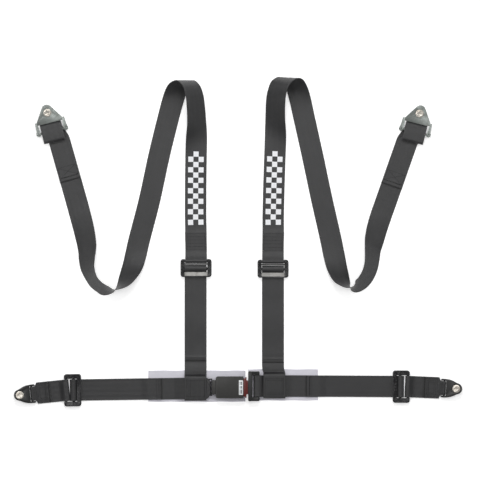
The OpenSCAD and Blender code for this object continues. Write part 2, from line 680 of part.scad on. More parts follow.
// Steel tongue: latch window at the tip, cross slot for the strap at the other end
module tongue_plate() {
    tongue_shift = buckle_y - lap_y[1];
    color([0.5, 0.5, 0.5]) tongue_place() translate([0, 0, -tongue_t / 2]) linear_extrude(tongue_t)
        difference() {
            union() {
                translate([0, tongue_shift]) rounded([-11.5, -tongue_w / 2], [30, tongue_w / 2], 4);
                rounded([27, -31], [50, 31], 3);
            }
            translate([0, tongue_shift]) rounded([0.4, -7.6], [7.2, 7.6], 1);
            translate([33.5, -25.7]) square([6.4, 51.4]);
        }
}

// Black plastic grip moulded over the tongue, with the strap slot through it
module tongue_grip() {
    half = 34.6;
    color([0.15, 0.15, 0.15]) tongue_place() difference() {
        union() {
            translate([0, -0.8, -8]) linear_extrude(16) rounded([23.5, -half], [33.2, half], 3);
            translate([0, -0.8, -2.2]) linear_extrude(4.4) rounded([30, -half], [50.5, half], 3);
            for (s = [-1, 1]) translate([0, s * 30.2 - 0.8, -6]) linear_extrude(12)
                rounded([30, -4.2], [48.5, 4.2], 3);
        }
        translate([33.3, -25.6, -20]) cube([6.6, 51.2, 40]);
        translate([0, 0, -tongue_t / 2]) linear_extrude(tongue_t) {
            translate([0, buckle_y - lap_y[1]]) square([60, tongue_w], center = true);
            rounded([27, -31], [50, 31], 3);
        }
    }
}

backing_pad(0);  // backing_pad_left
backing_pad(1);  // backing_pad_right
lap_strap(0);  // lap_strap_left
lap_strap(1);  // lap_strap_right
anchor_strap(0);  // anchor_strap_left
anchor_strap(1);  // anchor_strap_right
shoulder_lower_strap(0);  // shoulder_lower_strap_left
shoulder_lower_strap(1);  // shoulder_lower_strap_right
shoulder_upper_strap(0);  // shoulder_upper_strap_left
shoulder_upper_strap(1);  // shoulder_upper_strap_right
lap_adjuster_place(0) adjuster_frame(lap_adjuster_w, lap_adjuster_l);  // lap_adjuster_frame_left
lap_adjuster_place(1) adjuster_frame(lap_adjuster_w, lap_adjuster_l);  // lap_adjuster_frame_right
lap_adjuster_place(0) translate([lock_bar_x, 0, 0]) lock_bar();  // lap_lock_bar_left
lap_adjuster_place(1) translate([lock_bar_x, 0, 0]) lock_bar();  // lap_lock_bar_right
shoulder_adjuster_place(0) adjuster_frame(shoulder_adjuster_w, shoulder_adjuster_l, web = 3);  // shoulder_adjuster_frame_left
shoulder_adjuster_place(1) adjuster_frame(shoulder_adjuster_w, shoulder_adjuster_l, web = 3);  // shoulder_adjuster_frame_right
shoulder_adjuster_place(0) translate([lock_bar_x, 0, 0]) lock_bar();  // shoulder_lock_bar_left
shoulder_adjuster_place(1) translate([lock_bar_x, 0, 0]) lock_bar();  // shoulder_lock_bar_right
shoulder_bracket(0);  // shoulder_bracket_left
shoulder_bracket(1);  // shoulder_bracket_right
shoulder_bracket_bar(0);  // shoulder_bracket_bar_left
shoulder_bracket_bar(1);  // shoulder_bracket_bar_right
shoulder_bolt(0);  // shoulder_bolt_left
shoulder_bolt(1);  // shoulder_bolt_right
anchor_plate(0);  // anchor_plate_left
anchor_plate(1);  // anchor_plate_right
anchor_boot(0);  // anchor_boot_left
anchor_boot(1);  // anchor_boot_right
lap_bolt(0);  // lap_bolt_left
lap_bolt(1);  // lap_bolt_right
buckle_upper_cover();
buckle_lower_cover();
buckle_label();
buckle_frame();
latch_pin();
latch_plate();
latch_spring();
ejector();
ejector_spring();
release_button();
tongue_plate();
tongue_grip();
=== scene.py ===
# Looks for a four-point racing harness laid flat: woven webbing with sewn ends, enamelled adjusters,
# plated anchors and a push-button buckle. Shapes are in millimetres. Materials, floor, lights and camera
# are in metres, as Blender has them.
import json
import math
import random

import bmesh
import bpy
import numpy as np
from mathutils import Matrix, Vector

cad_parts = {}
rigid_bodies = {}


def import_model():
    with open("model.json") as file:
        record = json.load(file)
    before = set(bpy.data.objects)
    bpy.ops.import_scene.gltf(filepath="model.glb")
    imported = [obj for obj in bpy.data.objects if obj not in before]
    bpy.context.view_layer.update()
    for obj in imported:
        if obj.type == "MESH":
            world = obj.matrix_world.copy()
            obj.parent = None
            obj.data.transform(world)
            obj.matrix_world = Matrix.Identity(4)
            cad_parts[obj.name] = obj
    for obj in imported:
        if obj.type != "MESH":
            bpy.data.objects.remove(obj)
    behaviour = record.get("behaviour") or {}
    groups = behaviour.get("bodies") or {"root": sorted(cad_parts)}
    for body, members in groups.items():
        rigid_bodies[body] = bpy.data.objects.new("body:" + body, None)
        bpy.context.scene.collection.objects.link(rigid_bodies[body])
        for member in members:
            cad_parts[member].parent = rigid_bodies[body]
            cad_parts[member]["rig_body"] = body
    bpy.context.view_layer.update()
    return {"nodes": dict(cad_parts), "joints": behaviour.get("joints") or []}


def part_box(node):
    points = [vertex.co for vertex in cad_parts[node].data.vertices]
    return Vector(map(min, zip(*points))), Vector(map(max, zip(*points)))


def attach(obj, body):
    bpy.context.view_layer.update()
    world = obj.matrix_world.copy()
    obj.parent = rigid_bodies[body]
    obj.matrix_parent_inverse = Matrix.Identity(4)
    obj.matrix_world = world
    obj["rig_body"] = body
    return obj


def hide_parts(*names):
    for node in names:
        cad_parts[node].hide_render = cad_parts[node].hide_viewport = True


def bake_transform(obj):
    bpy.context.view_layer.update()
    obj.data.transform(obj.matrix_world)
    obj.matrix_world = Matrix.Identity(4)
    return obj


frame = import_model()

MM = 0.001
SIDES = ("left", "right")
FLIP = {"left": -1.0, "right": 1.0}
HALF = {"left": "left_half", "right": "right_half"}
JOINTS = {j["name"]: j for j in frame["joints"]}
draw = random.Random(7)

# Webbing: half width, half thickness, and the pitch of plies lying on each other
STRAP_HALF = 25.0
PLY_HALF = 0.62
PLY = 1.6
# Heights of the middle of a ply on the table, and of the adjusters' bars
TABLE = 0.75
BAR_Z = 6.6
# Largest angle between faces that still shade as one: soft goods, hard parts
SOFT_ANGLE = 60.0
HARD_ANGLE = 30.0


def joint_point(name):
    return np.array(JOINTS[name]["pos_m"]) / MM


def joint_axis(name):
    return np.array(JOINTS[name]["axis"], float)


def unit(v):
    return v / np.linalg.norm(v)


# ---- materials ----------------------------------------------------------------------------------


class Nodes:
    """Short names for building one material's node tree."""

    def __init__(self, name, **shader):
        self.material = bpy.data.materials.new(name)
        self.material.use_nodes = True
        self.tree = self.material.node_tree
        self.shader = self.tree.nodes["Principled BSDF"]
        for socket, value in shader.items():
            self.shader.inputs[socket.replace("_", " ")].default_value = value

    def add(self, kind, **settings):
        node = self.tree.nodes.new("ShaderNode" + kind)
        for key, value in settings.items():
            setattr(node, key, value)
        return node

    def put(self, socket, value):
        if isinstance(value, bpy.types.NodeSocket):
            self.tree.links.new(value, socket)
        else:
            socket.default_value = value

    def math(self, operation, a, b=0.0, c=0.0):
        node = self.add("Math", operation=operation)
        for socket, value in zip(node.inputs, (a, b, c)):
            self.put(socket, value)
        return node.outputs[0]

    def coordinates(self, kind="Object"):
        return self.add("TexCoord").outputs[kind]

    def axes(self, vector):
        node = self.add("SeparateXYZ")
        self.put(node.inputs[0], vector)
        return node.outputs

    def noise(self, vector, scale, detail=3.0, roughness=0.5):
        node = self.add("TexNoise")
        self.put(node.inputs["Vector"], vector)
        node.inputs["Scale"].default_value = scale
        node.inputs["Detail"].default_value = detail
        node.inputs["Roughness"].default_value = roughness
        return node.outputs[0]

    def voronoi(self, vector, scale):
        node = self.add("TexVoronoi")
        self.put(node.inputs["Vector"], vector)
        node.inputs["Scale"].default_value = scale
        return node.outputs["Distance"]

    def stretched(self, vector, scale):
        node = self.add("Mapping")
        self.put(node.inputs["Vector"], vector)
        node.inputs["Scale"].default_value = scale
        return node.outputs[0]

    def ramp(self, factor, low, high, start=0.0, end=1.0):
        node = self.add("MapRange")
        settings = {"Value": factor, "From Min": start, "From Max": end, "To Min": low, "To Max": high}
        for key, value in settings.items():
            self.put(node.inputs[key], value)
        return node.outputs[0]

    def mix(self, factor, a, b):
        node = self.add("Mix", data_type="RGBA")
        self.put(node.inputs["Factor"], factor)
        self.put(node.inputs[6], (*a, 1.0) if isinstance(a, tuple) else a)
        self.put(node.inputs[7], (*b, 1.0) if isinstance(b, tuple) else b)
        return node.outputs[2]

    def finish(self, colour, roughness, height=None, depth=0.0002, strength=0.5):
        self.put(self.shader.inputs["Base Color"], colour)
        self.put(self.shader.inputs["Roughness"], roughness)
        if height is not None:
            bump = self.add("Bump")
            bump.inputs["Strength"].default_value = strength
            bump.inputs["Distance"].default_value = depth
            self.put(bump.inputs["Height"], height)
            self.put(self.shader.inputs["Normal"], bump.outputs[0])
        return self.material


def weave(n):
    """Herringbone twill from the strap's own coordinates, in metres: across and along."""
    across, along, _ = n.axes(n.coordinates("UV"))
    panel = n.math("PINGPONG", across, 0.0062)
    diagonal = n.math("SINE", n.math("MULTIPLY", n.math("ADD", along, panel), 4200.0))
    yarn = n.math("SINE", n.math("MULTIPLY", across, 6900.0))
    height = n.math("ADD", n.math("MULTIPLY", diagonal, 0.34), n.math("MULTIPLY_ADD", yarn, 0.16, 0.5))
    return across, along, height


def webbing_material():
    n = Nodes("webbing", Sheen_Weight=0.04, Sheen_Roughness=0.4, Specular_IOR_Level=0.56)
    across, along, height = weave(n)
    # Lighter selvedge: a painted highlight on the raised edge bead
    edge = n.math("GREATER_THAN", n.math("ABSOLUTE", n.math("SUBTRACT", across, STRAP_HALF * MM)), 0.0226)
    cloud = n.noise(n.coordinates(), 26.0, 4.0)
    streak = n.noise(n.stretched(n.coordinates("UV"), (420.0, 9.0, 1.0)), 1.0, 2.0)
    patches = n.math("MULTIPLY_ADD", cloud, 0.32, n.math("MULTIPLY", streak, 0.28))
    tone = n.math("MULTIPLY_ADD", height, 0.42, patches)
    plain = n.mix(tone, (0.004, 0.004, 0.0045), (0.024, 0.024, 0.0255))
    colour = n.mix(n.math("MULTIPLY", edge, 0.4), plain, (0.028, 0.028, 0.0295))
    return n.finish(colour, n.ramp(height, 0.56, 0.40), height, 0.0003, 0.4)


def mark_material():
    n = Nodes("woven_white", Sheen_Weight=0.2, Specular_IOR_Level=0.3)
    _, _, height = weave(n)
    colour = n.mix(height, (0.74, 0.75, 0.78), (0.90, 0.91, 0.93))
    return n.finish(colour, n.ramp(height, 0.8, 0.62), height, 0.0002, 0.4)


def thread_material():
    n = Nodes("thread", Specular_IOR_Level=0.3)
    fibre = n.noise(n.coordinates(), 2600.0, 2.0)
    colour = n.mix(fibre, (0.004, 0.004, 0.004), (0.014, 0.014, 0.015))
    return n.finish(colour, n.ramp(fibre, 0.55, 0.8), fibre, 0.0001, 0.4)


def pad_material():
    n = Nodes("pad_knit", Sheen_Weight=0.3, Specular_IOR_Level=0.25)
    x, y, _ = n.axes(n.coordinates())
    rows = n.math("SINE", n.math("MULTIPLY", y, 5200.0))
    loops = n.math("SINE", n.math("MULTIPLY_ADD", x, 4100.0, n.math("MULTIPLY", rows, 0.9)))
    height = n.math("MULTIPLY_ADD", rows, 0.3, n.math("MULTIPLY_ADD", loops, 0.2, 0.5))
    cloud = n.noise(n.coordinates(), 40.0)
    tone = n.math("MULTIPLY_ADD", height, 0.5, n.math("MULTIPLY", cloud, 0.5))
    colour = n.mix(tone, (0.55, 0.54, 0.60), (0.78, 0.77, 0.83))
    return n.finish(colour, n.ramp(height, 0.92, 0.76), height, 0.0003, 0.5)


def enamel_material():
    n = Nodes("black_enamel", Coat_Weight=0.22, Coat_Roughness=0.12, Specular_IOR_Level=0.16)
    p = n.coordinates()
    peel = n.noise(p, 700.0, 2.0)
    worn = n.ramp(n.add("NewGeometry").outputs["Pointiness"], 0.0, 1.0, 0.55, 0.66)
    patch = n.math("MULTIPLY", worn, n.ramp(n.noise(p, 260.0, 5.0), 0.0, 1.0, 0.45, 0.7))
    colour = n.mix(patch, n.mix(peel, (0.010, 0.010, 0.011), (0.018, 0.018, 0.020)), (0.07, 0.07, 0.07))
    return n.finish(colour, n.ramp(peel, 0.3, 0.45), peel, 0.00004, 0.2)


def plated_material(name, dark, light, rough, stain, amount):
    """Plated steel: fine crystals, long faint scratches, cloudy stains and duller hollows."""
    n = Nodes(name, Metallic=0.85)
    p = n.coordinates()
    grain = n.noise(p, 900.0, 3.0)
    scratch = n.noise(n.stretched(p, (40.0, 1400.0, 300.0)), 1.0, 2.0)
    cloud = n.ramp(n.noise(p, 90.0, 5.0, 0.6), 0.0, 1.0, 0.42, 0.68)
    tone = n.math("MULTIPLY_ADD", grain, 0.6, n.math("MULTIPLY", scratch, 0.4))
    colour = n.mix(n.math("MULTIPLY", cloud, amount), n.mix(tone, dark, light), stain)
    roughness = n.math("MULTIPLY_ADD", cloud, 0.14, n.ramp(tone, rough + 0.1, rough - 0.08))
    return n.finish(colour, roughness, tone, 0.00012, 0.35)


def rubber_material():
    n = Nodes("boot_rubber", Specular_IOR_Level=0.45)
    p = n.coordinates()
    skin = n.voronoi(p, 1500.0)
    dust = n.ramp(n.noise(p, 120.0, 5.0), 0.0, 1.0, 0.5, 0.8)
    colour = n.mix(n.math("MULTIPLY", dust, 0.4), (0.009, 0.009, 0.009), (0.035, 0.035, 0.034))
    return n.finish(colour, n.ramp(dust, 0.42, 0.62), skin, 0.00012, 0.3)


def plastic_material(name, dark, light, rough, grain_scale, depth):
    """Moulded plastic with a fine spark-eroded grain and slightly polished spots."""
    n = Nodes(name, Specular_IOR_Level=0.4)
    p = n.coordinates()
    grain = n.voronoi(p, grain_scale)
    cloud = n.noise(p, 60.0, 4.0)
    tone = n.math("MULTIPLY_ADD", grain, 0.5, n.math("MULTIPLY", cloud, 0.55))
    colour = n.mix(tone, dark, light)
    return n.finish(colour, n.ramp(cloud, rough + 0.08, rough - 0.08, 0.3, 0.7), grain, depth, 0.4)


def floor_material():
    n = Nodes("pale_floor", Specular_IOR_Level=0.15)
    cloud = n.noise(n.coordinates(), 3.0, 3.0)
    n.shader.inputs["Emission Color"].default_value = (1, 1, 1, 1)
    n.shader.inputs["Emission Strength"].default_value = 0.4
    return n.finish(n.mix(cloud, (0.92, 0.92, 0.92), (0.95, 0.95, 0.95)), 0.9)


WEBBING = webbing_material()
MARK = mark_material()
THREAD = thread_material()
PAD = pad_material()
# Sealed yarn: a near-black glaze of its own, made darker still as painted shade for the shadow line at each
# ply end
SEALED_AND_SHADE = plastic_material("sealed_yarn_and_shade", (0.004, 0.004, 0.004), (0.012, 0.012, 0.012), 0.6, 2600.0, 0.00015)
ENAMEL = enamel_material()
ZINC = plated_material("zinc_plate", (0.23, 0.25, 0.24), (0.40, 0.43, 0.41), 0.46, (0.16, 0.17, 0.155), 0.45)
BOLT = plated_material("yellow_zinc", (0.58, 0.54, 0.48), (0.84, 0.81, 0.74), 0.34, (0.40, 0.33, 0.27), 0.45)
# Light metal for the shoulder adjusters' lips: a painted highlight, not the lip's own colour
LIP_HIGHLIGHT = plated_material("lip_painted_highlight", (0.26, 0.255, 0.245), (0.42, 0.415, 0.40), 0.5, (0.20, 0.19, 0.18), 0.4)
STEEL = plated_material("stamped_steel", (0.34, 0.34, 0.35), (0.55, 0.55, 0.56), 0.34, (0.25, 0.24, 0.22),
                        0.3)
RUBBER = rubber_material()
BLACK = plastic_material("grained_black", (0.024, 0.024, 0.0225), (0.042, 0.041, 0.039), 0.5, 1900.0, 0.0001)
GRIP = plastic_material("grip_black", (0.006, 0.006, 0.006), (0.014, 0.014, 0.0145), 0.42, 1500.0, 0.0001)
RED = plastic_material("button_red", (0.085, 0.010, 0.008), (0.15, 0.020, 0.016), 0.42, 1700.0, 0.00008)
NATURAL = plastic_material("natural_nylon", (0.52, 0.50, 0.42), (0.66, 0.63, 0.54), 0.45, 1500.0, 0.0001)
LABEL = plastic_material("label_film", (0.78, 0.80, 0.81), (0.88, 0.90, 0.91), 0.3, 2500.0, 0.00003)
INK = plastic_material("label_ink", (0.03, 0.04, 0.05), (0.06, 0.07, 0.08), 0.4, 2500.0, 0.00003)


# ---- mesh helpers -------------------------------------------------------------------------------


def new_piece(name, points, faces, material, body, uvs=None):
    """One shown piece from points in millimetres, riding on a CAD body if one is given."""
    mesh = bpy.data.meshes.new(name)
    corners = [tuple(np.array(p) * MM) for p in points]
    mesh.from_pydata(corners, [], [tuple(int(i) for i in f) for f in faces])
    if uvs is not None:
        layer = mesh.uv_layers.new(name="UVMap")
        for loop in mesh.loops:
            layer.data[loop.index].uv = [c * MM for c in uvs[loop.vertex_index]]
    bm = bmesh.new()
    bm.from_mesh(mesh)
    bmesh.ops.recalc_face_normals(bm, faces=bm.faces)
    bm.to_mesh(mesh)
    bm.free()
    mesh.validate()
    piece = bpy.data.objects.new(name, mesh)
    bpy.context.scene.collection.objects.link(piece)
    mesh.materials.append(material)
    shade(piece, SOFT_ANGLE)
    if body:
        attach(piece, body)
    return piece


def shade(piece, angle):
    mesh = piece.data
    mesh.shade_smooth()
    mesh.set_sharp_from_angle(angle=math.radians(angle))


def with_modifier(piece, kind, **settings):
    """Adds a modifier and bakes it into the mesh."""
    modifier = piece.modifiers.new(kind, kind)
    for key, value in settings.items():
        setattr(modifier, key, value)
    bpy.context.view_layer.update()
    baked = bpy.data.meshes.new_from_object(piece.evaluated_get(bpy.context.evaluated_depsgraph_get()))
    piece.modifiers.remove(modifier)
    piece.data = baked


def softened(node, width, material, segments=3):
    """A copy of a hard CAD node with its edges rounded, shown in its place."""
    source = frame["nodes"][node].data
    bm = bmesh.new()
    bm.from_mesh(source)
    bmesh.ops.remove_doubles(bm, verts=bm.verts, dist=1e-5)
    bmesh.ops.dissolve_limit(bm, angle_limit=math.radians(1.0), verts=bm.verts, edges=bm.edges)
    bm.verts.index_update()
    points = [tuple(v.co / MM) for v in bm.verts]
    faces = [[v.index for v in f.verts] for f in bm.faces]
    bm.free()
    body = frame["nodes"][node]["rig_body"]
    piece = new_piece("look_" + node, points, faces, material, None)
    with_modifier(piece, "BEVEL", width=width * MM, segments=segments, limit_method="ANGLE",
                  angle_limit=math.radians(32.0), harden_normals=True, miter_outer="MITER_ARC")
    shade(piece, HARD_ANGLE)
    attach(piece, body)
    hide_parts(node)
    return piece


# ---- webbing ------------------------------------------------------------------------------------

# Half section of the webbing: distance from the middle, half thickness. The selvedge is a low bead.
SECTION = [(25.0, 0.18), (24.8, 0.42), (24.2, 0.64), (23.2, 0.70), (22.3, 0.60), (18.0, 0.62), (12.0, 0.62),
           (6.0, 0.62), (0.0, 0.62)]
# A strap gets a new section at least this often: distance in mm, bend or twist in degrees
STEP = 3.0
TURN = 9.0
# One stitch, as rings along it: place, share of the thread's radius, and height over the webbing
STITCH_RINGS = ((-0.04, 0.3, -0.12), (0.16, 0.9, 0.16), (0.5, 1.0, 0.26), (0.84, 0.9, 0.16),
                (1.04, 0.3, -0.12))
STITCH_PITCH = 3.4
THREAD_R = 0.36
# Sealed end of a ply, dark as its own glaze and as painted shade: half width, and rings given by their
# distance from the end and their height
SEAL_HALF = 25.1
SEAL_RINGS = ((2.7, 0.02), (2.2, 0.14), (0.7, 0.2), (-0.1, 0.05), (-0.4, -0.35))


def divided(rows, longest=7.0):
    """The same polyline with no stretch much longer than longest."""
    out = [np.array(rows[0], float)]
    for row in rows[1:]:
        row = np.array(row, float)
        parts = max(1, int(np.linalg.norm(row[:3] - out[-1][:3]) / longest))
        last = out[-1]
        out += [last + (row - last) * k / parts for k in range(1, parts + 1)]
    return np.array(out)


def corner_cut(rows, times=3):
    """Rounds a polyline's corners without leaving it by much."""
    p = divided(rows)
    for _ in range(times):
        q = np.empty((2 * len(p) - 2, p.shape[1]))
        q[0::2] = 0.75 * p[:-1] + 0.25 * p[1:]
        q[1::2] = 0.25 * p[:-1] + 0.75 * p[1:]
        p = np.vstack([p[:1], q, p[-1:]])
    return p


def through(rows, steps=10):
    """Smooth curve through every row."""
    p = np.array(rows, float)
    out = []
    for i in range(len(p) - 1):
        a, b, c, d = p[max(i - 1, 0)], p[i], p[i + 1], p[min(i + 2, len(p) - 1)]
        for k in range(steps):
            t = k / steps
            out.append(0.5 * (2 * b + (c - a) * t + (2 * a - 5 * b + 4 * c - d) * t * t
                              + (3 * b - a - 3 * c + d) * t ** 3))
    return np.array(out + [p[-1]])


def arc(centre, radius, start, end, count):
    angles = np.radians(np.linspace(start, end, count + 1))
    return [(centre[0] + radius * math.cos(a), centre[1] + radius * math.sin(a)) for a in angles]


class Strap:
    """A length of webbing swept along rows of centre and across direction. A seventh number in a row is
    1 where that direction is made square to the run, and 0 where it is kept as given."""

    def __init__(self, rows):
        p = np.array(rows, float)
        seg = np.linalg.norm(np.diff(p[:, :3], axis=0), axis=1)
        p = p[np.concatenate([[True], seg > 1e-4])]
        seg = np.diff(p[:, :3], axis=0)
        length = np.linalg.norm(seg, axis=1)
        t = seg / length[:, None]
        w = p[:, 3:6] / np.linalg.norm(p[:, 3:6], axis=1)[:, None]
        bend = np.arccos(np.clip((t[:-1] * t[1:]).sum(1), -1, 1))
        twist = np.arccos(np.clip((w[:-1] * w[1:]).sum(1), -1, 1))
        cost = length / STEP + twist / math.radians(TURN)
        cost[1:] += bend / math.radians(TURN)
        m = np.concatenate([[0], np.cumsum(cost)])
        at = np.linspace(0, m[-1], int(m[-1]) + 2)
        self.p = np.stack([np.interp(at, m, p[:, k]) for k in range(3)], 1)
        self.w = np.stack([np.interp(at, m, p[:, 3 + k]) for k in range(3)], 1)
        t = np.gradient(self.p, axis=0)
        self.t = t / np.linalg.norm(t, axis=1)[:, None]
        square = np.ones(len(at)) if p.shape[1] < 7 else np.interp(at, m, p[:, 6])
        self.w -= self.t * ((self.w * self.t).sum(1) * square)[:, None]
        self.w /= np.linalg.norm(self.w, axis=1)[:, None]
        self.n = np.cross(self.t, self.w)
        self.n /= np.linalg.norm(self.n, axis=1)[:, None]
        self.s = np.concatenate([[0], np.cumsum(np.linalg.norm(np.diff(self.p, axis=0), axis=1))])
        self.width = np.ones(len(self.s))
        self.gather = np.zeros(len(self.s))

    def at(self, s, w, side=1.0, lift=0.0):
        """Point on the surface at distance s along and w across, and its normal and run."""
        p, a, n, t = (np.array([np.interp(s, self.s, v[:, k]) for k in range(3)])
                      for v in (self.p, self.w, self.n, self.t))
        k = float(np.interp(s, self.s, self.width))
        g = float(np.interp(s, self.s, self.gather))
        n = n * side
        return p + a * w * k + n * (PLY_HALF + lift) + n * side * pleat(w, g), n, t

    def nearest(self, x, y, first, last):
        """Distance along of the point closest to (x, y) in plan, between first and last."""
        keep = (self.s >= first) & (self.s <= last)
        d = np.linalg.norm(self.p[:, :2] - np.array([x, y]), axis=1)
        return float(self.s[int(np.argmin(np.where(keep, d, 1e9)))])

    def mesh(self, name, body, node):
        section = [(-w, t) for w, t in SECTION[:-1]] + [(w, t) for w, t in reversed(SECTION)]
        ring = [(w, t) for w, t in section] + [(w, -t) for w, t in reversed(section)]
        count = len(ring)
        points, uvs, faces = [], [], []
        for i in range(len(self.s)):
            for w, t in ring:
                rise = self.n[i] * (t + pleat(w, self.gather[i]))
                points.append(self.p[i] + self.w[i] * w * self.width[i] + rise)
                uvs.append((w + STRAP_HALF, self.s[i]))
        for i in range(len(self.s) - 1):
            a, b = i * count, (i + 1) * count
            faces += [(a + k, a + (k + 1) % count, b + (k + 1) % count, b + k) for k in range(count)]
        half = count // 2
        for base in (0, (len(self.s) - 1) * count):
            last = base + count - 1
            faces += [(base + k, base + k + 1, last - 1 - k, last - k) for k in range(half - 1)]
        piece = new_piece(name, points, faces, WEBBING, body, uvs)
        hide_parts(node)
        return piece


def pleat(w, amount):
    """Height of the folds where the webbing is squeezed narrower than it is wide."""
    return amount * (1.5 * math.cos(w / STRAP_HALF * 3 * math.pi) - 0.4) * min(1.0, abs(w) / 12.0)


def smoothstep(a, b, x):
    t = min(1.0, max(0.0, (x - a) / (b - a)))
    return t * t * (3 - 2 * t)


def stitches(name, strap, body, rows, side=1.0):
    """Rows of lock stitches on a strap, each row given by its two ends along and across."""
    points, faces = [], []
    for s0, w0, s1, w1 in rows:
        count = max(1, int(math.hypot(s1 - s0, w1 - w0) / STITCH_PITCH))
        for i in range(count):
            ends = []
            for f in ((i + 0.12) / count, (i + 0.88) / count):
                w = w0 + (w1 - w0) * f + draw.uniform(-0.12, 0.12)
                ends.append(strap.at(s0 + (s1 - s0) * f, w, side))
            (a, na, _), (b, _, _) = ends
            run = unit(b - a)
            across = unit(np.cross(run, na))
            base = len(points)
            for f, k, lift in STITCH_RINGS:
                c = a + (b - a) * f + na * lift
                for j in range(6):
                    angle = j * math.pi / 3
                    points.append(c + (across * math.cos(angle) + na * math.sin(angle)) * THREAD_R * k)
            for r in range(4):
                for j in range(6):
                    p, q = base + 6 * r + j, base + 6 * r + (j + 1) % 6
                    faces.append((p, q, q + 6, p + 6))
            faces.append(tuple(base + j for j in range(5, -1, -1)))
            faces.append(tuple(base + 24 + j for j in range(6)))
    new_piece(name, points, faces, THREAD, body)


def sealed_end_and_shade(name, strap, body, side):
    """Heat-sealed end of a ply: a glazed edge, uneven where the yarns melted together, darker than the
    webbing as painted shade at the ply's end.
    """
    end = strap.s[-1]
    points, faces = [], []
    columns = 26
    places = [-SEAL_HALF + 2 * SEAL_HALF * k / columns for k in range(columns + 1)]
    for back, lift in SEAL_RINGS:
        for k, w in enumerate(places):
            ragged = 0.12 * math.sin(k * 2.1) + draw.uniform(-0.08, 0.08)
            p, _, run = strap.at(end - back, w, side, lift + 0.04 * math.sin(k * 1.3))
            points.append(p + run * ragged)
    for w in places:
        p, _, run = strap.at(end, w, side, -1.3)
        points.append(p + run * 0.3)
    for w in places:
        points.append(strap.at(end - SEAL_RINGS[0][0], w, side, -1.1)[0])
    rings = len(SEAL_RINGS) + 2
    for r in range(rings):
        for k in range(columns):
            a, b = r * (columns + 1) + k, (r + 1) % rings * (columns + 1) + k
            faces.append((a, a + 1, b + 1, b))
    for k in (0, columns):
        faces.append(tuple(r * (columns + 1) + k for r in range(rings)))
    new_piece(name, points, faces, SEALED_AND_SHADE, body)


def box_rows(s0, s1, w0, w1, cross=True):
    """A box stitch, with its diagonals if cross."""
    rows = [(s0, w0, s1, w0), (s0, w1, s1, w1), (s0, w0, s0, w1), (s1, w0, s1, w1)]
    if cross:
        rows += [(s0, w0, s1, w1), (s0, w1, s1, w0)]
    return rows


def across_rows(distances, half=22.0):
    return [(s, -half, s, half) for s in distances]


# ---- where the parts are ------------------------------------------------------------------------

# Heights: a ply on the pad, the lap strap's low ply at the buckle, the top of the sewn patch
ON_PAD = 3.5
LOW_PLY = 8.2
PATCH_Z = {"left": 13.4, "right": 12.6}
# The lap strap's loop on the buckle or tongue: distance out, height, half length and radius
LAP_START = {"left": 68.0, "right": 45.0}
LOOP_Z = {"left": 9.75, "right": 14.0}
LOOP_HALF = {"left": 2.5, "right": 5.0}
LOOP_R = {"left": 2.25, "right": 3.0}
# Where the lap strap's tail ends and where it leaves the pad, going outboard, and the lower tails' ends
LAP_TAIL = {"left": 177.0, "right": 158.0}
OFF_PAD = {"left": 212.0, "right": 192.0}
SHOULDER_TAIL_Y = {"left": -277.0, "right": -281.0}
# Radii of webbing round an adjuster's fixed bar and an anchor's bar, and the lock bar's place
FIXED_R = 4.45
ANCHOR_R = 3.2
LOCK_X = 18.0
